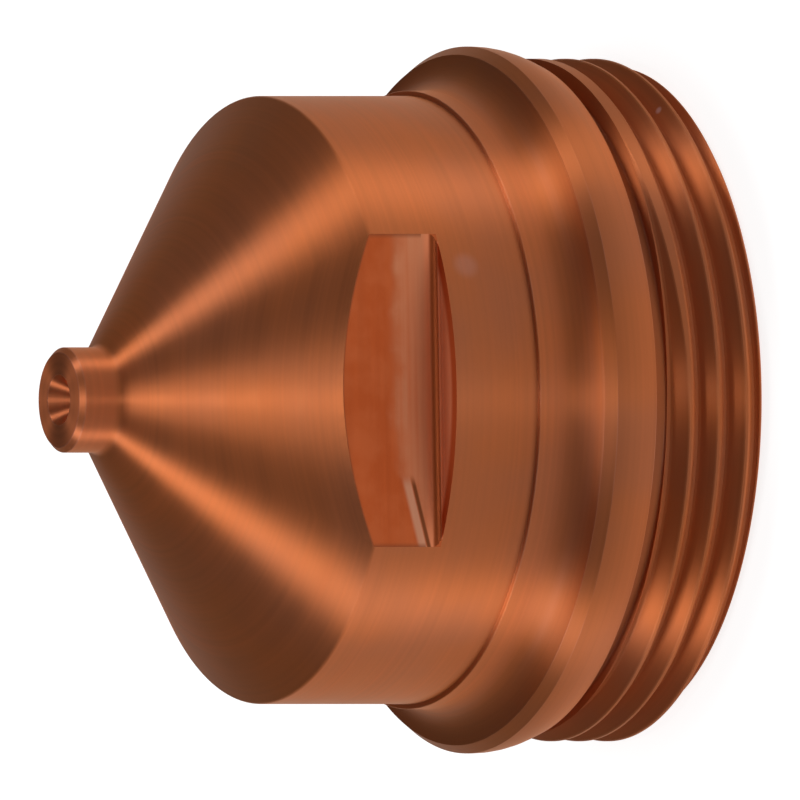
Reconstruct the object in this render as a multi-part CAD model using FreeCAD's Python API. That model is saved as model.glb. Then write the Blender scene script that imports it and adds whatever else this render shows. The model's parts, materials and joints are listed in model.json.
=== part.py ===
import FreeCAD, Part
import math
import os

# Plasma torch nozzle, turned from one bar of copper.
# The axis is Z. The rear face lies on z = 0 and the tip points up.
# Lengths are in millimetres, angles in degrees.

os.makedirs("parts", exist_ok=True)

# Tip
overall_length = 30.2
tip_diameter = 5.1
tip_length = 2.05
tip_edge_chamfer = 0.25

# External thread, metric, right-hand. The other large diameters follow from its diameter.
thread_diameter = 33.0
thread_pitch = 1.5
thread_length = 6.03
thread_start_angle = 157.4
thread_runout = 0.9
thread_flank_half_angle = 30.0
thread_depth_share = 0.6134
thread_mouth_share = 0.875
cutter_clearance = 0.1

# Relief groove under the seat, and the lead chamfer at the rear end
relief_width = 0.95
relief_depth = 1.0
lead_chamfer_angle = 54.0
lead_chamfer_depth = 0.9

# Flange, with its front chamfer and the crowned seat on its rear side
flange_overhang = 0.6
flange_thickness = 2.92
flange_chamfer_length = 0.55
flange_chamfer_depth = 0.4
seat_angle = 25.0
seat_round = 4.0
seat_depth = 0.6

# Locating land, one step under the thread, with the cove that runs up to the flange
land_step = 1.55
land_length = 2.6
cove_round = 1.65

# Cylinder, one step under the land, and the cone in front of it
body_step = 0.25
cone_half_angle = 54.5
cone_edge_round = 0.2

# Wrench flats, milled on two opposite sides through the cone
flat_depth = 2.1
flat_base_height = 15.9

# Bore for the electrode and its swirl ring, open to the rear
bore_wall = 3.5
bore_depth = 10.0
bore_mouth_chamfer = 0.4

# Inner chamber, its cone, the throat and the orifice with its flared mouth
chamber_shoulder = 2.6
cone_wall = 2.6
throat_diameter = 3.8
throat_length = 0.5
throat_cone_half_angle = 45.0
orifice_diameter = 1.2
exit_diameter = 2.5
exit_half_angle = 32.0

# Radii that follow from these
tip_radius = tip_diameter / 2
thread_radius = thread_diameter / 2
relief_radius = thread_radius - relief_depth
lead_small_radius = thread_radius - lead_chamfer_depth
flange_radius = thread_radius + flange_overhang
seat_small_radius = flange_radius - seat_depth
land_radius = thread_radius - land_step
body_radius = land_radius - body_step
bore_radius = thread_radius - bore_wall
chamber_radius = bore_radius - chamber_shoulder
throat_radius = throat_diameter / 2
orifice_radius = orifice_diameter / 2
exit_radius = exit_diameter / 2


def tangent(angle):
    return math.tan(math.radians(angle))


def joined_outline(corners):
    """Closed outline in the XZ plane from (radius, height, round) corners, with tangent arcs
    at the rounds."""
    points = [FreeCAD.Vector(r, 0, z) for r, z, bend in corners]
    count = len(corners)
    arcs = []
    for i in range(count):
        here = points[i]
        bend = corners[i][2]
        back = (points[i - 1] - here).normalize()
        ahead = (points[(i + 1) % count] - here).normalize()
        if bend == 0:
            arcs.append((here, None, here))
            continue
        half_opening = back.getAngle(ahead) / 2
        reach = bend / math.tan(half_opening)
        middle = (back + ahead).normalize() * (bend / math.sin(half_opening) - bend)
        arcs.append((here + back * reach, here + middle, here + ahead * reach))
    edges = []
    for i in range(count):
        start, middle, end = arcs[i]
        if middle is not None:
            edges.append(Part.Arc(start, middle, end).toShape())
        following = arcs[(i + 1) % count][0]
        edges.append(Part.LineSegment(end, following).toShape())
    return Part.Wire(edges)


def turned_body():
    """Everything that the lathe cuts, as one outline turned about the axis."""
    cone_top = overall_length - tip_length
    cone_bottom = cone_top - (body_radius - tip_radius) / tangent(cone_half_angle)
    flange_front = thread_length + flange_thickness
    land_top = flange_front + land_length
    chamfer_bottom = flange_front - flange_chamfer_length
    seat_corner = thread_length + seat_depth / tangent(seat_angle)
    relief_bottom = thread_length - relief_width
    lead_top = lead_chamfer_depth / tangent(lead_chamfer_angle)

    # The inner cone runs parallel to the outer one, one wall inside it
    inner_apex = cone_top + tip_radius / tangent(cone_half_angle)
    inner_apex -= cone_wall / math.sin(math.radians(cone_half_angle))
    chamber_top = inner_apex - chamber_radius / tangent(cone_half_angle)
    throat_bottom = inner_apex - throat_radius / tangent(cone_half_angle)
    throat_top = throat_bottom + throat_length
    orifice_bottom = throat_top + (throat_radius - orifice_radius) / tangent(throat_cone_half_angle)
    exit_bottom = overall_length - (exit_radius - orifice_radius) / tangent(exit_half_angle)

    outside = [
        (exit_radius, overall_length, 0),
        (tip_radius - tip_edge_chamfer, overall_length, 0),
        (tip_radius, overall_length - tip_edge_chamfer, 0),
        (tip_radius, cone_top, 0),
        (body_radius, cone_bottom, cone_edge_round),
        (body_radius, land_top, 0),
        (land_radius, land_top, 0),
        (land_radius, flange_front, cove_round),
        (flange_radius - flange_chamfer_depth, flange_front, 0),
        (flange_radius, chamfer_bottom, 0),
        (flange_radius, seat_corner, seat_round),
        (seat_small_radius, thread_length, 0),
        (relief_radius, thread_length, 0),
        (relief_radius, relief_bottom, 0),
        (thread_radius, relief_bottom, 0),
        (thread_radius, lead_top, 0),
        (lead_small_radius, 0, 0),
    ]
    inside = [
        (bore_radius + bore_mouth_chamfer, 0, 0),
        (bore_radius, bore_mouth_chamfer, 0),
        (bore_radius, bore_depth, 0),
        (chamber_radius, bore_depth, 0),
        (chamber_radius, chamber_top, 0),
        (throat_radius, throat_bottom, 0),
        (throat_radius, throat_top, 0),
        (orifice_radius, orifice_bottom, 0),
        (orifice_radius, exit_bottom, 0),
    ]
    section = Part.Face(joined_outline(outside + inside))
    return section.revolve(FreeCAD.Vector(0, 0, 0), FreeCAD.Vector(0, 0, 1), 360)


def thread_cutter():
    """One tooth space of a 60 degree metric thread, carried along a right-hand helix from below
    the rear face up into the relief groove."""
    tooth_depth = thread_depth_share * thread_pitch
    mouth_half = thread_mouth_share * thread_pitch / 2
    outer = thread_radius + cutter_clearance
    root = thread_radius - tooth_depth
    outer_half = mouth_half + cutter_clearance * tangent(thread_flank_half_angle)
    root_half = mouth_half - tooth_depth * tangent(thread_flank_half_angle)
    helix_end = thread_length - thread_runout
    space = Part.makePolygon([
        FreeCAD.Vector(outer, 0, -outer_half),
        FreeCAD.Vector(root, 0, -root_half),
        FreeCAD.Vector(root, 0, root_half),
        FreeCAD.Vector(outer, 0, outer_half),
        FreeCAD.Vector(outer, 0, -outer_half),
    ])
    path = Part.makeLongHelix(thread_pitch, helix_end + thread_pitch, root, 0.0)
    cutter = Part.Wire(path.Edges).makePipeShell([space], True, True)
    cutter.translate(FreeCAD.Vector(0, 0, -thread_pitch))
    cutter.rotate(FreeCAD.Vector(0, 0, 0), FreeCAD.Vector(0, 0, 1), thread_start_angle)
    return cutter


def flat_cutters():
    """The two blocks that the milling of the wrench flats takes away."""
    flat_distance = body_radius - flat_depth
    block_depth = 2 * flat_depth
    block_height = overall_length - flat_base_height
    blocks = []
    for near in (flat_distance, -flat_distance - block_depth):
        corner = FreeCAD.Vector(-body_radius, near, flat_base_height)
        blocks.append(Part.makeBox(2 * body_radius, block_depth, block_height, corner))
    return blocks


nozzle = turned_body()
for block in flat_cutters():
    nozzle = nozzle.cut(block)
nozzle = nozzle.cut(thread_cutter())
nozzle = nozzle.Solids[0]
nozzle.exportStep("parts/nozzle_body.step")

box = nozzle.optimalBoundingBox(False)
print("size", round(box.XLength, 3), round(box.YLength, 3), round(box.ZLength, 3))
print("volume", round(nozzle.Volume, 2), "valid", nozzle.isValid())
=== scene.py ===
import json
import math

import bmesh
import bpy
import numpy as np
from mathutils import Matrix, Vector

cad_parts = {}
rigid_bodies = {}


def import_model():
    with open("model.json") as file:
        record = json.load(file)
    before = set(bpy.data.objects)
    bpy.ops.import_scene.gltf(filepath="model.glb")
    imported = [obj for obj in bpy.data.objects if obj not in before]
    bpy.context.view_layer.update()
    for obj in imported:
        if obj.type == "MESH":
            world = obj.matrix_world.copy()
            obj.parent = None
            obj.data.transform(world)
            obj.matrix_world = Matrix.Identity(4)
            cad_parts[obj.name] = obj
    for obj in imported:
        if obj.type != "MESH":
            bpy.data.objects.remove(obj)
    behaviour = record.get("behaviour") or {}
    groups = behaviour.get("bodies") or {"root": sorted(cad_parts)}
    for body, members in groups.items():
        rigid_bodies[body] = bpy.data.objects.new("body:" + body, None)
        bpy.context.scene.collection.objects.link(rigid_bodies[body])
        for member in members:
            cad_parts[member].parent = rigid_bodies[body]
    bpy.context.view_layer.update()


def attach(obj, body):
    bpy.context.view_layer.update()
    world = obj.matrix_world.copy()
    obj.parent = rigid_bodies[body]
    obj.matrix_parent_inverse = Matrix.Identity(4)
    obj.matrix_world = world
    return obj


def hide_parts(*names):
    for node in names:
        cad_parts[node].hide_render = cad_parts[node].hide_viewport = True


# Plasma torch nozzle: one turned copper piece, standing on its rear face.
# The sizes in the dictionaries are millimetres and degrees, the scene is in metres.

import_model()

mm = 0.001
tiny = 1e-6  # keeps a division away from nought


def tanDeg(angle):
    return math.tan(math.radians(angle))


def smoothStep(x, start, end):
    # 0 before start, 1 after end, and 3t^2 - 2t^3 between them
    t = np.clip((x - start) / (end - start), 0, 1)
    return t * t * (3 - 2 * t)


def addObject(name, data):
    thing = bpy.data.objects.new(name, data)
    bpy.context.scene.collection.objects.link(thing)
    return thing


# Body: the turned outline from the orifice round the outside and back through the bore
nozzle = {
    "length": 30.2, "tipRadius": 2.55, "tipLength": 2.05, "tipEdge": 0.25,
    "coneHalfAngle": 54.5, "bodyRadius": 14.7, "flatDistance": 12.6, "flatFoot": 15.9,
    "landRadius": 14.95, "landTop": 11.55,
    "flangeRadius": 17.09, "flangeFront": 8.95, "flangeChamfer": (0.4, 0.55),
    "seatAngle": 25.0, "seatDepth": 0.6, "seatFoot": 6.03,
    "reliefRadius": 15.5, "reliefFoot": 5.08, "rearRadius": 15.0,
    "boreRadius": 13.0, "boreDepth": 10.0, "boreChamfer": 0.4,
    "chamberRadius": 10.4, "coneWall": 2.6,
    "throatRadius": 1.9, "throatLength": 0.5, "throatAngle": 45.0,
    "orificeRadius": 0.6, "exitRadius": 1.25, "exitAngle": 32.0,
}

# Rounds: the ones that are cut on purpose, then the small ones of each edge and corner
rounds = {
    "tipRoot": 0.5, "coneEdge": 0.2, "flatFoot": 0.4, "cove": 1.65, "seat": 4.0,
    "mouthRoot": 0.06, "mouthRim": 0.03, "tip": 0.08, "stepRoot": 0.02, "step": 0.06,
    "flange": 0.05, "seatFoot": 0.08, "reliefTop": 0.06, "reliefFoot": 0.08,
    "boreRim": 0.03, "boreMouth": 0.05, "boreEnd": 0.2, "chamberRim": 0.1, "chamberTop": 0.4,
    "throat": 0.1,
}

# Thread: one 60 degree space on a right-hand helix that runs out under the relief groove
thread = {
    "radius": 16.5, "pitch": 1.5, "startAngle": 157.4, "depth": 0.92, "mouthHalf": 0.65625,
    "flank": 30.0, "leadRadius": 15.6, "leadAngle": 54.0,
    "liftFrom": 4.93, "liftTo": 5.2, "liftOver": 0.02,
    "edge": 0.03, "rootEdge": 0.05, "turns": (-1, 4), "crest": (16.1, 16.45),
}

# Grid: how closely its rows and columns lie, and where extra ones keep an edge crisp
grid = {
    "flatColumns": 42, "sideColumns": 90, "sideSteps": (0.08, 0.25, 0.6),
    "arcStep": 7.0, "support": 0.02, "wornBelow": 0.09, "coneStart": 1.2, "coneRows": 24,
    "wallShares": (0.004, 0.25, 0.5, 0.75, 0.996), "footSteps": 7,
    "shelfShares": (0.03, 0.5, 0.97, 1.0), "shelfDrop": 0.03, "threadRise": 0.04, "seamLift": 0.3,
    "mergeGap": 0.0015, "sharpAngle": 14.0,
}

# Tone of each surface against clean turned copper, in the order of the outline's legs. It is partly the
# surface's own finish and partly painted light and shade:
# painted shade on the cove, the flange and the thread crests, painted light on the flared mouth, the
# tip's edge chamfer and the tip
tone = {
    "front": [0.6, 1.25, 0.74, 1.3, 1.14, 1.0], "cone": (1.03, 0.9), "flat": 1.0,
    "middle": [1.0, 1.0, 1.06, 0.77, 0.8, 0.8, 0.91, 0.9, 0.9, 0.95],
    "thread": 1.0, "crest": 0.85,
    "back": [0.9, 0.8, 0.8, 0.7, 0.7, 0.7, 0.7, 0.7, 0.7],
}

# How much duller a surface is than the clean cylinder, in the same order
dull = {"front": [0.3, 0.12, 1.3, 0.15, 0.05, 0.0], "thread": 0.03, "elsewhere": [0.0]}


def turnedLine(corners, g):
    # corners are (radius, height, round). Each round is the arc tangent to both legs, centre on
    # the line that halves the corner, with a support point on each leg just outside the arc.
    # Third in each row is the number of the leg, fourth is 1 on the arc of a small round.
    points = np.array([corner[:2] for corner in corners], float)
    rows = [[*points[0], 0, 0]]
    for i in range(1, len(corners) - 1):
        here, bend = points[i], corners[i][2]
        back, ahead = points[i - 1] - here, points[i + 1] - here
        back, ahead = back / np.linalg.norm(back), ahead / np.linalg.norm(ahead)
        half = math.acos(float(np.clip(back @ ahead, -1, 1))) / 2
        reach = bend / math.tan(half)
        centre = here + (back + ahead) / np.linalg.norm(back + ahead) * bend / math.sin(half)
        first, last = here + back * reach, here + ahead * reach
        startAngle = math.atan2(*(first - centre)[::-1])
        turn = math.atan2(*(last - centre)[::-1]) - startAngle
        turn = (turn + math.pi) % (2 * math.pi) - math.pi
        steps = max(2, math.ceil(abs(turn) / math.radians(g["arcStep"])))
        share = np.linspace(0, 1, steps + 1)
        angles = startAngle + turn * share
        worn = float(bend < g["wornBelow"])
        rows.append([*(first + back * g["support"]), i - 1, 0])
        rows.extend(np.stack([centre[0] + bend * np.cos(angles), centre[1] + bend * np.sin(angles),
                              i - 1 + share, np.full(steps + 1, worn)], 1))
        rows.append([*(last + ahead * g["support"]), i, 0])
    rows.append([*points[-1], len(corners) - 2, 0])
    return np.array(rows)


def between(a, b, shares):
    # straight line from a to b at the given shares of its length, on every column
    return a[:, None] + (b - a)[:, None] * np.asarray(shares)[None, :]


def block(radius, height, shade, worn=0.0, satin=0.0):
    # radius, height, tone, wear and dullness of each row on each column, one above the other
    return np.stack(np.broadcast_arrays(radius, height, shade, worn, satin))


def turnedBlock(corners, tones, dulls, count, g):
    # the same outline on every column, with a tone and a dullness for each leg
    line = turnedLine(corners, g)
    shade = np.interp(line[:, 2], np.arange(len(tones)), tones)
    satin = np.interp(line[:, 2], np.arange(len(dulls)), dulls)
    return block(np.repeat(line[None, :, 0], count, 0), line[:, 1], shade, line[:, 3], satin)


def columnAngles(n, g, t):
    # angles in degrees from the thread's start, even between the sides of the two flats,
    # which get a column of their own and closer ones just inside it
    half = math.degrees(math.acos(n["flatDistance"] / n["bodyRadius"]))
    edges = [90 - half, 90 + half, 270 - half, 270 + half, 450 - half]
    parts = [np.linspace(a, b, (g["flatColumns"] if i % 2 == 0 else g["sideColumns"]) + 1)[:-1]
             for i, (a, b) in enumerate(zip(edges[:-1], edges[1:]))]
    near = np.array(g["sideSteps"])
    parts += [edges[0] + near, edges[1] - near, edges[2] + near, edges[3] - near]
    angles = np.concatenate(parts) - t["startAngle"]
    angles = np.sort(np.concatenate([angles % 360, [0.0]]))
    return np.append(angles, 360.0)


def keyHeights(n, g):
    # heights that follow from radii and angles. The inner cone runs parallel to the outer one:
    # its apex is the outer apex less wall / sin(half angle)
    coneTan = tanDeg(n["coneHalfAngle"])
    coneTop = n["length"] - n["tipLength"]
    outerApex = coneTop + n["tipRadius"] / coneTan
    innerApex = outerApex - n["coneWall"] / math.sin(math.radians(n["coneHalfAngle"]))
    throatFoot = innerApex - n["throatRadius"] / coneTan
    throatTop = throatFoot + n["throatLength"]
    orificeFoot = throatTop + (n["throatRadius"] - n["orificeRadius"]) / tanDeg(n["throatAngle"])
    return {
        "outerApex": outerApex, "coneTop": coneTop,
        "coneFoot": coneTop - (n["bodyRadius"] - n["tipRadius"]) / coneTan,
        "seatCorner": n["seatFoot"] + n["seatDepth"] / tanDeg(n["seatAngle"]),
        "chamberTop": innerApex - n["chamberRadius"] / coneTan,
        "throatFoot": throatFoot, "throatTop": throatTop, "orificeFoot": orificeFoot,
        "seam": orificeFoot + g["seamLift"],
        "exitFoot": n["length"] - (n["exitRadius"] - n["orificeRadius"]) / tanDeg(n["exitAngle"]),
    }


def frontCorners(n, g, h):
    # orifice, flared mouth, tip and the first part of the cone
    return [
        (n["orificeRadius"], h["seam"], 0),
        (n["orificeRadius"], h["exitFoot"], rounds["mouthRoot"]),
        (n["exitRadius"], n["length"], rounds["mouthRim"]),
        (n["tipRadius"] - n["tipEdge"], n["length"], rounds["tip"]),
        (n["tipRadius"], n["length"] - n["tipEdge"], rounds["tip"]),
        (n["tipRadius"], h["coneTop"], rounds["tipRoot"]),
        (n["tipRadius"] + g["coneStart"], h["coneTop"] - g["coneStart"] / tanDeg(n["coneHalfAngle"]), 0),
    ]


def middleCorners(n, g, h):
    # cylinder, land, cove, flange with its crowned seat, and the relief groove
    chamferIn, chamferDown = n["flangeChamfer"]
    return [
        (n["bodyRadius"], n["flatFoot"] - g["shelfDrop"], 0),
        (n["bodyRadius"], n["landTop"], rounds["stepRoot"]),
        (n["landRadius"], n["landTop"], rounds["step"]),
        (n["landRadius"], n["flangeFront"], rounds["cove"]),
        (n["flangeRadius"] - chamferIn, n["flangeFront"], rounds["flange"]),
        (n["flangeRadius"], n["flangeFront"] - chamferDown, rounds["flange"]),
        (n["flangeRadius"], h["seatCorner"], rounds["seat"]),
        (n["flangeRadius"] - n["seatDepth"], n["seatFoot"], rounds["seatFoot"]),
        (n["reliefRadius"], n["seatFoot"], rounds["reliefTop"]),
        (n["reliefRadius"], n["reliefFoot"], rounds["reliefFoot"]),
        (n["reliefRadius"] + g["threadRise"], n["reliefFoot"], 0),
    ]


def backCorners(n, h):
    # rear face, bore, shoulder, chamber, inner cone and throat, back to the orifice
    return [
        (n["rearRadius"], 0, 0),
        (n["boreRadius"] + n["boreChamfer"], 0, rounds["boreRim"]),
        (n["boreRadius"], n["boreChamfer"], rounds["boreMouth"]),
        (n["boreRadius"], n["boreDepth"], rounds["boreEnd"]),
        (n["chamberRadius"], n["boreDepth"], rounds["chamberRim"]),
        (n["chamberRadius"], h["chamberTop"], rounds["chamberTop"]),
        (n["throatRadius"], h["throatFoot"], rounds["throat"]),
        (n["throatRadius"], h["throatTop"], rounds["throat"]),
        (n["orificeRadius"], h["orificeFoot"], rounds["throat"]),
        (n["orificeRadius"], h["seam"], 0),
    ]


def coneBlocks(cut, n, g, h):
    # height = cone's top - (radius - tip radius) / tan(half angle), in even steps of radius up to
    # the round at the cone's edge, or up to the flat (cut) where that comes first
    coneTan = tanDeg(n["coneHalfAngle"])
    edgeLine = turnedLine([(n["tipRadius"], h["coneTop"], 0),
                           (n["bodyRadius"], h["coneFoot"], rounds["coneEdge"]),
                           (n["bodyRadius"], n["flatFoot"], 0)], g)
    arcR, arcZ = edgeLine[1:-1, 0], edgeLine[1:-1, 1]
    start = np.full_like(cut, n["tipRadius"] + g["coneStart"])
    shares = np.linspace(0, 1, g["coneRows"] + 1)[1:]
    radius = between(start, np.minimum(cut, arcR[0]), shares)
    height = h["coneTop"] - (radius - n["tipRadius"]) / coneTan
    cone = block(radius, height, np.linspace(*tone["cone"], len(shares)))

    # the round, clipped where the flat cuts it
    onCone = h["coneTop"] - (cut - n["tipRadius"]) / coneTan
    clipZ = np.where(cut < arcR[0], onCone, np.interp(cut, arcR, arcZ))
    height = np.where(arcR <= cut[:, None], arcZ, clipZ[:, None])
    shade = np.linspace(tone["cone"][1], tone["flat"], len(arcR))
    return cone, block(np.minimum(arcR, cut[:, None]), height, shade)


def flatBlocks(cut, cos, wallTop, n, g):
    # the wall of the flat, or of the cylinder beside it, down to the round at the flat's foot:
    # distance = flat + f (1 - cos a), height = foot + f (1 - sin a). A shelf goes on to the cylinder
    foot, f = n["flatFoot"], rounds["flatFoot"]
    wallZ = between(wallTop, np.full_like(cut, foot + f), g["wallShares"])
    reach = np.clip((n["bodyRadius"] * cos - n["flatDistance"]) / f, 0, 1)
    lean = np.radians(np.linspace(0, 90, g["footSteps"] + 1))
    lean = np.minimum(lean[None, :], np.arccos(1 - reach)[:, None])
    footR = (n["flatDistance"] + f * (1 - np.cos(lean))) / np.maximum(cos, tiny)[:, None]
    footR = np.minimum(footR, n["bodyRadius"])
    footZ = foot + f * (1 - np.sin(lean))
    shelfR = between(footR[:, -1], np.full_like(cut, n["bodyRadius"]), g["shelfShares"])
    shelfZ = between(footZ[:, -1], np.full_like(cut, foot), g["shelfShares"])
    return (block(cut[:, None], wallZ, tone["flat"]), block(footR, footZ, tone["flat"]),
            block(shelfR, shelfZ, tone["flat"]))


def threadBlock(turnShare, top, t):
    # Heights and radii of the thread on each column. Groove k has its middle at
    # pitch * (turn + k). Its sides meet the smaller of thread radius and lead chamfer, so each
    # mouth edge is the crossing of a flank line with that line. The tool lifts near the relief.
    flankTan, leadTan = tanDeg(t["flank"]), tanDeg(t["leadAngle"])
    rootHalf = t["mouthHalf"] - t["depth"] * flankTan
    middles = [t["pitch"] * (turnShare + k) for k in range(*t["turns"])]
    lift = t["depth"] + t["liftOver"]
    roots = [t["radius"] - t["depth"] + lift * smoothStep(middle, t["liftFrom"], t["liftTo"])
             for middle in middles]
    corner = (t["radius"] - t["leadRadius"]) / leadTan
    rows, last = [], np.zeros_like(turnShare)
    for middle, root in zip(middles, roots):
        full = np.maximum(t["radius"] - root, 0) * flankTan
        onLead = np.maximum(t["leadRadius"] - root, 0) * flankTan
        upper = np.minimum(middle + rootHalf + full,
                           (middle + rootHalf + onLead) / (1 - leadTan * flankTan))
        lower = np.maximum(middle - rootHalf - full,
                           (middle - rootHalf - onLead) / (1 + leadTan * flankTan))
        rows += [np.clip(np.full_like(middle, corner), last, lower - t["edge"]),
                 lower - t["edge"], lower + t["edge"],
                 middle - rootHalf - t["rootEdge"], middle - rootHalf + t["rootEdge"],
                 middle + rootHalf - t["rootEdge"], middle + rootHalf + t["rootEdge"],
                 upper - t["edge"], upper + t["edge"]]
        last = upper + t["edge"]
    rows.append(np.maximum(last, corner))
    height = np.maximum.accumulate(np.clip(np.stack(rows, 1), 0, top), axis=1)
    ends = np.zeros((len(height), 1))
    height = np.concatenate([ends, height, ends + top], 1)
    radius = np.minimum(t["radius"], t["leadRadius"] + height * leadTan)
    for middle, root in zip(middles, roots):
        side = np.maximum(np.abs(height - middle[:, None]) - rootHalf, 0) / flankTan
        radius = np.minimum(radius, root[:, None] + side)
    # the crests are darker than the flanks: painted shade
    shade = tone["thread"] + (tone["crest"] - tone["thread"]) * smoothStep(radius, *t["crest"])
    return block(radius, height, shade, 0.0, dull["thread"])[:, :, ::-1]


def nozzleGrid(n, g, t):
    # the fields of every row on every column, from the orifice out, down and back in
    angles = columnAngles(n, g, t)
    count, h = len(angles), keyHeights(n, g)
    cos = np.abs(np.cos(np.radians(angles + t["startAngle"] - 90)))
    flatRadius = n["flatDistance"] / np.maximum(cos, tiny)
    cut = np.minimum(flatRadius, n["bodyRadius"])
    front = turnedBlock(frontCorners(n, g, h), tone["front"], dull["front"], count, g)
    cone, coneEdge = coneBlocks(cut, n, g, h)
    wall, foot, shelf = flatBlocks(cut, cos, coneEdge[1][:, -1], n, g)
    middle = turnedBlock(middleCorners(n, g, h), tone["middle"], dull["elsewhere"], count, g)
    threads = threadBlock(angles / 360, n["reliefFoot"], t)
    back = turnedBlock(backCorners(n, h), tone["back"], dull["elsewhere"], count, g)
    fields = np.concatenate([front, cone, coneEdge, wall, foot, shelf, middle, threads, back], 2)
    milledFrom = sum(part.shape[2] for part in (front, cone, coneEdge)) - 1
    milledTo = milledFrom + sum(part.shape[2] for part in (wall, foot, shelf))
    return angles, fields, (milledFrom, milledTo), flatRadius < n["bodyRadius"] - tiny


def buildNozzle(n, g, t):
    # x = radius cos(angle), y = radius sin(angle), z = height. The first and last rows meet in
    # the orifice, so the surface is closed. U of the UV map is the way along the outline and V
    # the way round, both in metres.
    angles, (radius, height, shade, worn, satin), milledRows, inFlat = nozzleGrid(n, g, t)
    turn = np.radians(angles + t["startAngle"])[:, None]
    xyz = np.stack([radius * np.cos(turn), radius * np.sin(turn), height], 2) * mm
    columns, rows = radius.shape
    step = np.hypot(np.diff(radius, axis=1), np.diff(height, axis=1)).mean(0)
    along = np.concatenate([[0], np.cumsum(step)]) * mm
    around = np.radians(angles) * n["bodyRadius"] * mm

    index = np.arange(columns * rows).reshape(columns, rows)
    corners = (index[:-1, :-1], index[:-1, 1:], index[1:, 1:], index[1:, :-1])
    quads = np.stack(corners, 2).reshape(-1, 4)
    rowNumber = np.arange(rows - 1)
    onFlat = (rowNumber >= milledRows[0]) & (rowNumber < milledRows[1])
    milledFaces = ((inFlat[:-1] | inFlat[1:])[:, None] & onFlat[None, :]).reshape(-1)

    mesh = bpy.data.meshes.new("nozzleBody")
    mesh.from_pydata(xyz.reshape(-1, 3), [], quads)
    mesh.polygons.foreach_set("material_index", milledFaces.astype(np.int32))
    uv = mesh.uv_layers.new(name="turning")
    loops = quads.reshape(-1)
    uvs = np.stack([along[loops % rows], around[loops // rows]], 1)
    uv.data.foreach_set("uv", uvs.astype(np.float32).ravel())
    for name, values in (("tone", shade), ("wear", worn), ("satin", satin)):
        field = mesh.attributes.new(name, "FLOAT", "POINT")
        field.data.foreach_set("value", values.astype(np.float32).ravel())
    return addObject("nozzleBody", mesh)


def cleanMesh(piece, gap, sharpAngle):
    # merge doubled points, drop faces without area, and mark edges that turn more than the angle
    bm = bmesh.new()
    bm.from_mesh(piece.data)
    bmesh.ops.remove_doubles(bm, verts=bm.verts, dist=gap)
    bmesh.ops.dissolve_degenerate(bm, edges=bm.edges, dist=gap)
    loose = [v for v in bm.verts if not v.link_faces]
    bmesh.ops.delete(bm, geom=loose, context="VERTS")
    bmesh.ops.recalc_face_normals(bm, faces=bm.faces)
    openEdges = sum(1 for edge in bm.edges if len(edge.link_faces) != 2)
    triangles = sum(len(face.verts) - 2 for face in bm.faces)
    bm.to_mesh(piece.data)
    bm.free()
    piece.data.polygons.foreach_set("use_smooth", np.ones(len(piece.data.polygons), bool))
    piece.data.set_sharp_from_angle(angle=math.radians(sharpAngle))
    return openEdges, triangles


body = buildNozzle(nozzle, grid, thread)
openEdges, triangles = cleanMesh(body, grid["mergeGap"] * mm, grid["sharpAngle"])
print("nozzle body:", triangles, "triangles,", openEdges, "open edges")
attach(body, "root")
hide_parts("nozzle_body")


# Copper as the lathe left it: bright, saturated and reflecting in bands across the tool marks
turned = {
    "warm": (0.648, 0.183, 0.058), "brown": (0.579, 0.177, 0.070), "tint": (0.92, 0.74, 0.58),
    "roughness": 0.48, "anisotropy": 1.0, "coat": 0.1, "coatRoughness": 0.35, "dulling": 0.36,
    "cloudSize": 7.0, "cloudDetail": 2.0, "cloudEdges": (0.35, 0.65),
    "sweep": 24.0, "lineDetail": 1.0,  # the tool's lines keep their tone this far round
    "bandWidth": 1.3, "bandTone": 0.28, "bandRough": 0.10,
    "markWidth": 0.22, "markTone": 0.24, "markRough": 0.06, "markDepth": 0.004,
    "worn": (0.775, 0.417, 0.337), "wornShare": 0.15, "wornEdges": (0.3, 0.7),
    "spotColor": (0.821, 0.516, 0.474), "spotCore": 0.3,
    "spots": [  # place, size and strength
        ((6.03, -13.41, 14.7), 0.85, 0.15),  # smudge on the cylinder
        ((13.71, -8.34, 1.82), 0.25, 0.7),  # nick on a crest
    ],
}

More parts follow.
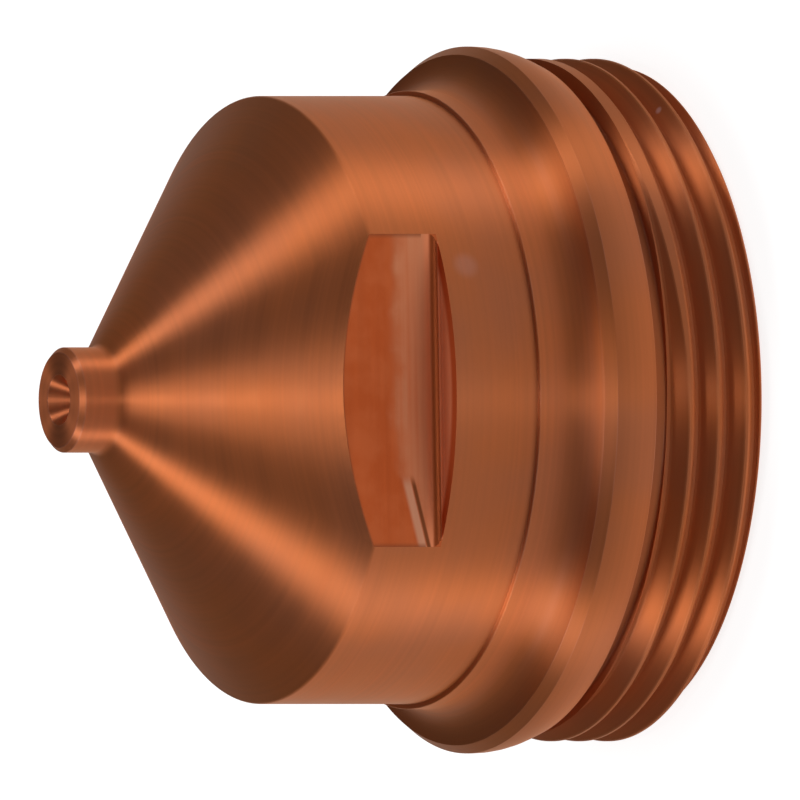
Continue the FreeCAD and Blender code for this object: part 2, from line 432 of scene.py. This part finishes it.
# The milled flats: a saturated field, and a paler, streaked strip where the cutter's last pass
# ran along the foot. A pair is where a fade starts and ends
milled = {
    "field": (0.447, 0.095, 0.027), "fieldDeep": (0.409, 0.076, 0.018), "tint": (0.92, 0.74, 0.58),
    "roughness": 0.44, "anisotropy": 0.5, "coat": 0.05, "coatRoughness": 0.35,
    "blotchSize": 1.6, "blotchDetail": 3.0, "blotchEdges": (0.35, 0.65),
    "brushLength": 9.0, "brushWidth": 0.35, "brushDetail": 2.0, "brushRough": 0.16,
    "brushDepth": 0.006,
    "strip": (0.532, 0.185, 0.087), "stripTop": 18.1, "stripBend": -2.4, "stripSlope": 0.33,
    "stripRagged": 1.6, "stripFade": (-0.5, 0.6), "stripShare": 0.9, "stripStreaks": 1.6,
    # band, round, shelf, line and rim: painted light and shade along the flat's foot and its shelf
    "paintedLightBand": (0.627, 0.195, 0.087), "paintedLightBandFade": (16.35, 16.7),
    "round": (0.399, 0.084, 0.024), "roundFade": (16.18, 16.33),
    "shelf": (0.799, 0.291, 0.145), "shelfFade": (12.8, 12.88),
    "line": (0.875, 0.410, 0.238), "paintedReflectionLineFade": (13.15, 13.35),
    "paintedShadeRim": (0.514, 0.098, 0.027), "paintedShadeRimFade": (0.375, 0.75),
    "mark": (0.173, 0.047, 0.016), "markFrom": (-4.3, 17.33), "markTo": (-7.6, 16.5),
    "markEnd": (-4.7, -4.0), "markFade": (0.045, 0.144),
    "streak": (0.536, 0.252, 0.151), "streakRise": (-0.64, -0.4), "streakFall": (-0.18, -0.09),
    "streakShare": 0.8,
    # edge: painted shade along the flat's edges with the cone and the cylinder
    "edge": (0.225, 0.058, 0.022), "edgeShadeFade": (0.0, 0.13), "edgeShadeShare": 0.7, "noEdge": 9.0,
}


def put(tree, socket, value):
    # an output is linked, a plain value is set
    if isinstance(value, bpy.types.NodeSocket):
        tree.links.new(value, socket)
    else:
        socket.default_value = value


def calc(tree, operation, *values):
    node = tree.nodes.new("ShaderNodeMath")
    node.operation = operation
    for socket, value in zip(node.inputs, values):
        put(tree, socket, value)
    return node.outputs["Value"]


def product(tree, first, *others):
    for other in others:
        first = calc(tree, "MULTIPLY", first, other)
    return first


def about(tree, noise, swing, middle):
    # middle + swing (noise - 1/2)
    return calc(tree, "MULTIPLY_ADD", noise, swing, middle - swing / 2)


def fade(tree, value, edges, first, last):
    # first up to the lower edge, last from the upper one, smooth between them
    node = tree.nodes.new("ShaderNodeMapRange")
    node.interpolation_type = "SMOOTHSTEP"
    sockets = ("Value", "From Min", "From Max", "To Min", "To Max")
    for name, part in zip(sockets, (value, *edges, first, last)):
        put(tree, node.inputs[name], part)
    return node.outputs["Result"]


def rise(tree, value, edges):
    return fade(tree, value, edges, 0.0, 1.0)


def fall(tree, value, edges):
    return fade(tree, value, edges, 1.0, 0.0)


def blend(tree, share, first, second):
    # first where share is 0, second where it is 1
    node = tree.nodes.new("ShaderNodeMix")
    node.data_type = "RGBA"
    for number, value in ((0, share), (6, first), (7, second)):
        put(tree, node.inputs[number], (*value, 1) if isinstance(value, tuple) else value)
    return node.outputs[2]


def scaled(tree, vector, factor):
    node = tree.nodes.new("ShaderNodeVectorMath")
    node.operation = "SCALE"
    put(tree, node.inputs["Vector"], vector)
    put(tree, node.inputs["Scale"], factor)
    return node.outputs["Vector"]


def splitUp(tree, vector):
    node = tree.nodes.new("ShaderNodeSeparateXYZ")
    put(tree, node.inputs["Vector"], vector)
    return [node.outputs[axis] for axis in "XYZ"]


def attribute(tree, name):
    node = tree.nodes.new("ShaderNodeAttribute")
    node.attribute_name = name
    return node.outputs["Fac"]


def grain(tree, place, size, detail, along=None, width=1.0):
    # noise that changes over "size" in space, and over "width" in the way of "along", if given
    node = tree.nodes.new("ShaderNodeTexNoise")
    node.noise_dimensions = "4D"
    put(tree, node.inputs["Vector"], scaled(tree, place, 1 / size))
    put(tree, node.inputs["W"], 0.0 if along is None else calc(tree, "DIVIDE", along, width))
    put(tree, node.inputs["Scale"], 1.0)
    put(tree, node.inputs["Detail"], detail)
    return node.outputs[0]


def newFinish(name, f):
    # a metal shader with its grooves square to U of the UV map, and the place in millimetres
    material = bpy.data.materials.new(name)
    material.use_nodes = True
    tree = material.node_tree
    shader = tree.nodes["Principled BSDF"]
    put(tree, shader.inputs["Metallic"], 1)
    put(tree, shader.inputs["Anisotropic"], f["anisotropy"])
    put(tree, shader.inputs["Specular Tint"], (*f["tint"], 1))
    put(tree, shader.inputs["Coat Weight"], f["coat"])
    put(tree, shader.inputs["Coat Roughness"], f["coatRoughness"])
    tangent = tree.nodes.new("ShaderNodeTangent")
    tangent.direction_type = "UV_MAP"
    tangent.uv_map = "turning"
    put(tree, shader.inputs["Tangent"], tangent.outputs["Tangent"])
    coordinates = tree.nodes.new("ShaderNodeTexCoord")
    return material, tree, shader, scaled(tree, coordinates.outputs["Object"], 1 / mm)


def addRelief(tree, shader, height, depth):
    # grooves as deep as depth, where the height goes from 0 to 1
    bump = tree.nodes.new("ShaderNodeBump")
    put(tree, bump.inputs["Strength"], 1.0)
    put(tree, bump.inputs["Distance"], depth * mm)
    put(tree, bump.inputs["Height"], height)
    put(tree, shader.inputs["Normal"], bump.outputs["Normal"])


def turnedCopper(name, f):
    material, tree, shader, place = newFinish(name, f)
    uv = tree.nodes.new("ShaderNodeUVMap")
    uv.uv_map = "turning"
    along = calc(tree, "DIVIDE", splitUp(tree, uv.outputs["UV"])[0], mm)
    clouds = grain(tree, place, f["cloudSize"], f["cloudDetail"])
    bands = grain(tree, place, f["sweep"], f["lineDetail"], along, f["bandWidth"])
    marks = grain(tree, place, f["sweep"], f["lineDetail"], along, f["markWidth"])

    # colour: clouds of browner copper, then bands and tool marks a little lighter or darker
    color = blend(tree, rise(tree, clouds, f["cloudEdges"]), f["warm"], f["brown"])
    # the tone attribute is each surface's finish together with painted light and shade, as in the tone
    # table
    shade = product(tree, about(tree, bands, f["bandTone"], 1.0), about(tree, marks, f["markTone"], 1.0),
                    attribute(tree, "tone"))
    worn = product(tree, attribute(tree, "wear"), rise(tree, clouds, f["wornEdges"]), f["wornShare"])
    color = blend(tree, worn, scaled(tree, color, shade), f["worn"])

    # single marks: a pale smudge or nick that fades out from its middle
    for spot, size, strength in f["spots"]:
        away = tree.nodes.new("ShaderNodeVectorMath")
        away.operation = "DISTANCE"
        put(tree, away.inputs[0], place)
        put(tree, away.inputs[1], spot)
        inSpot = fall(tree, away.outputs["Value"], (size * f["spotCore"], size))
        color = blend(tree, product(tree, inSpot, strength), color, f["spotColor"])
    put(tree, shader.inputs["Base Color"], color)

    plainRough = f["roughness"] - (f["bandRough"] + f["markRough"]) / 2
    rough = calc(tree, "MULTIPLY_ADD", bands, f["bandRough"], plainRough)
    rough = calc(tree, "MULTIPLY_ADD", attribute(tree, "satin"), f["dulling"], rough)
    put(tree, shader.inputs["Roughness"], calc(tree, "MULTIPLY_ADD", marks, f["markRough"], rough))
    addRelief(tree, shader, marks, f["markDepth"])
    return material


def milledCopper(name, f):
    material, tree, shader, place = newFinish(name, f)
    x, y, z = splitUp(tree, place)
    # the two flats are alike under a half turn about the axis
    side = calc(tree, "SIGN", y)
    way = product(tree, x, side, -1.0)  # along the flat
    away = product(tree, y, side)  # out from the axis
    radius = calc(tree, "SQRT", calc(tree, "MULTIPLY_ADD", x, x, product(tree, y, y)))
    toRim = calc(tree, "SUBTRACT", nozzle["bodyRadius"], radius)
    blotch = grain(tree, place, f["blotchSize"], f["blotchDetail"])
    brush = grain(tree, place, f["brushLength"], f["brushDetail"], z, f["brushWidth"])
    color = blend(tree, rise(tree, blotch, f["blotchEdges"]), f["field"], f["fieldDeep"])

    # the strip's upper border: level, then falling beyond the bend, a little ragged
    beyond = calc(tree, "MINIMUM", calc(tree, "SUBTRACT", way, f["stripBend"]), 0.0)
    border = calc(tree, "MULTIPLY_ADD", beyond, f["stripSlope"],
                  about(tree, blotch, f["stripRagged"], f["stripTop"]))
    strip = product(tree, rise(tree, calc(tree, "SUBTRACT", border, z), f["stripFade"]),
                    about(tree, brush, f["stripStreaks"], f["stripShare"]))
    color = blend(tree, calc(tree, "MINIMUM", strip, 1.0), color, f["strip"])

    # along the foot: a band painted lighter than the field, painted light that lifts the dark reflection
    # of the shelf on it, then the round painted darker, painted shade that dims a lamp's highlight on
    # it; the shelf painted pale with a paler line on its inner side, painted reflection of the wall, and
    # a dark rim, painted shade
    low = fall(tree, z, f["paintedLightBandFade"])
    color = blend(tree, low, color, f["paintedLightBand"])
    color = blend(tree, fall(tree, z, f["roundFade"]), color, f["round"])
    onShelf = rise(tree, away, f["shelfFade"])
    onLine = fall(tree, away, f["paintedReflectionLineFade"])
    color = blend(tree, onShelf, color, blend(tree, onLine, f["shelf"], f["line"]))
    color = blend(tree, product(tree, fall(tree, toRim, f["paintedShadeRimFade"]), onShelf), color, f["paintedShadeRim"])

    # the slanting tool mark: distance from its line, with a paler streak on its upper side
    (x0, z0), (x1, z1) = f["markFrom"], f["markTo"]
    length = math.hypot(x1 - x0, z1 - z0)
    off = calc(tree, "ADD", product(tree, calc(tree, "SUBTRACT", way, x0), (z0 - z1) / length),
               product(tree, calc(tree, "SUBTRACT", z, z0), (x1 - x0) / length))
    inMark = fall(tree, way, f["markEnd"])
    streak = product(tree, rise(tree, off, f["streakRise"]), fall(tree, off, f["streakFall"]),
                     inMark, f["streakShare"])
    color = blend(tree, streak, color, f["streak"])
    mark = product(tree, fall(tree, calc(tree, "ABSOLUTE", off), f["markFade"]), inMark)
    color = blend(tree, mark, color, f["mark"])

    # painted shade: darker along the edges with the cone and the cylinder, where the small edge rounds,
    # which are not modelled, look dark; but not below the band
    coneTan = tanDeg(nozzle["coneHalfAngle"])
    toCone = calc(tree, "SUBTRACT", keyHeights(nozzle, grid)["outerApex"],
                  calc(tree, "MULTIPLY_ADD", radius, 1 / coneTan, z))
    toCylinder = calc(tree, "MULTIPLY_ADD", low, f["noEdge"], toRim)
    edge = fall(tree, calc(tree, "MINIMUM", toCone, toCylinder), f["edgeShadeFade"])
    color = blend(tree, product(tree, edge, f["edgeShadeShare"]), color, f["edge"])
    put(tree, shader.inputs["Base Color"], color)

    put(tree, shader.inputs["Roughness"], about(tree, brush, f["brushRough"], f["roughness"]))
    addRelief(tree, shader, brush, f["brushDepth"])
    return material


body.data.materials.append(turnedCopper("turnedCopper", turned))
body.data.materials.append(milledCopper("milledCopper", milled))
print("materials done")


# Floor, lights and camera
room = {
    "floorSize": 4000.0, "floorColor": 0.36, "floorRoughness": 0.9,
    "floorGlow": 0.84,  # seen by the camera and in reflections, but not as light on the nozzle
    "worldLevel": 0.185, "lampDistance": 700.0, "target": 12.0,
    "lamps": [  # azimuth from the camera, elevation, width, height, strength
        (180.0, 80.0, 200.0, 160.0, 10.4),
        (96.5, 40.0, 235.0, 220.0, 6.6),
        (-95.0, 43.0, 220.0, 220.0, 7.9),
        (0.0, 60.0, 50.0, 100.0, 19.0),
    ],
}

shot = {
    "azimuth": -92.1, "elevation": 25.5, "target": 11.93, "distance": 500.0, "frameWidth": 38.67,
    "clip": (10.0, 20000.0),
}


def direction(azimuth, elevation):
    # (cos h cos a, cos h sin a, sin h)
    a, h = math.radians(azimuth), math.radians(elevation)
    return Vector((math.cos(h) * math.cos(a), math.cos(h) * math.sin(a), math.sin(h)))


def makeFloor(r):
    # one square at height 0
    half = r["floorSize"] / 2 * mm
    mesh = bpy.data.meshes.new("floor")
    mesh.from_pydata([(-half, -half, 0), (half, -half, 0), (half, half, 0), (-half, half, 0)], [],
                     [(0, 1, 2, 3)])
    floor = addObject("floor", mesh)
    material = bpy.data.materials.new("paleFloor")
    material.use_nodes = True
    tree = material.node_tree
    shader = tree.nodes["Principled BSDF"]
    put(tree, shader.inputs["Base Color"], (r["floorColor"],) * 3 + (1,))
    put(tree, shader.inputs["Roughness"], r["floorRoughness"])
    put(tree, shader.inputs["Specular IOR Level"], 0)
    path = tree.nodes.new("ShaderNodeLightPath")
    seen = path.outputs["Is Camera Ray"]
    for ray in ("Is Glossy Ray", "Is Transmission Ray"):
        seen = calc(tree, "MAXIMUM", seen, path.outputs[ray])
    put(tree, shader.inputs["Emission Color"], (1, 1, 1, 1))
    put(tree, shader.inputs["Emission Strength"], calc(tree, "MULTIPLY", seen, r["floorGlow"]))
    mesh.materials.append(material)


def makeLamps(r):
    # soft boxes that face the nozzle; the power grows with the area
    for number, (azimuth, elevation, width, height, strength) in enumerate(r["lamps"]):
        light = bpy.data.lights.new("softbox%d" % number, "AREA")
        light.shape = "RECTANGLE"
        light.size, light.size_y = width * mm, height * mm
        light.energy = strength * math.pi * light.size * light.size_y
        lamp = addObject(light.name, light)
        out = direction(shot["azimuth"] + azimuth, elevation)
        lamp.location = Vector((0, 0, r["target"] * mm)) + out * r["lampDistance"] * mm
        lamp.rotation_mode = "QUATERNION"
        lamp.rotation_quaternion = out.to_track_quat("Z", "Y")


def makeWorld(r):
    world = bpy.data.worlds.new("room")
    world.use_nodes = True
    background = world.node_tree.nodes["Background"]
    background.inputs["Color"].default_value = (1, 1, 1, 1)
    background.inputs["Strength"].default_value = r["worldLevel"]
    bpy.context.scene.world = world


def makeCamera(s):
    # the picture is turned a quarter: the axis of the nozzle runs to the left of the picture. The
    # photo shows no perspective, so the view is parallel
    lens = bpy.data.cameras.new("camera")
    lens.type = "ORTHO"
    lens.ortho_scale = s["frameWidth"] * mm
    lens.clip_start, lens.clip_end = s["clip"][0] * mm, s["clip"][1] * mm
    camera = addObject("camera", lens)
    back = direction(s["azimuth"], s["elevation"])
    side = Vector((0, 0, 1)).cross(back).normalized()
    quarterTurn = Matrix((side.cross(back), side, back)).transposed()
    spot = Vector((0, 0, s["target"] * mm)) + back * s["distance"] * mm
    camera.matrix_world = Matrix.Translation(spot) @ quarterTurn.to_4x4()
    bpy.context.scene.camera = camera


makeFloor(room)
makeLamps(room)
makeWorld(room)
makeCamera(shot)
bpy.context.scene.view_settings.view_transform = "Standard"
print("room and camera done")
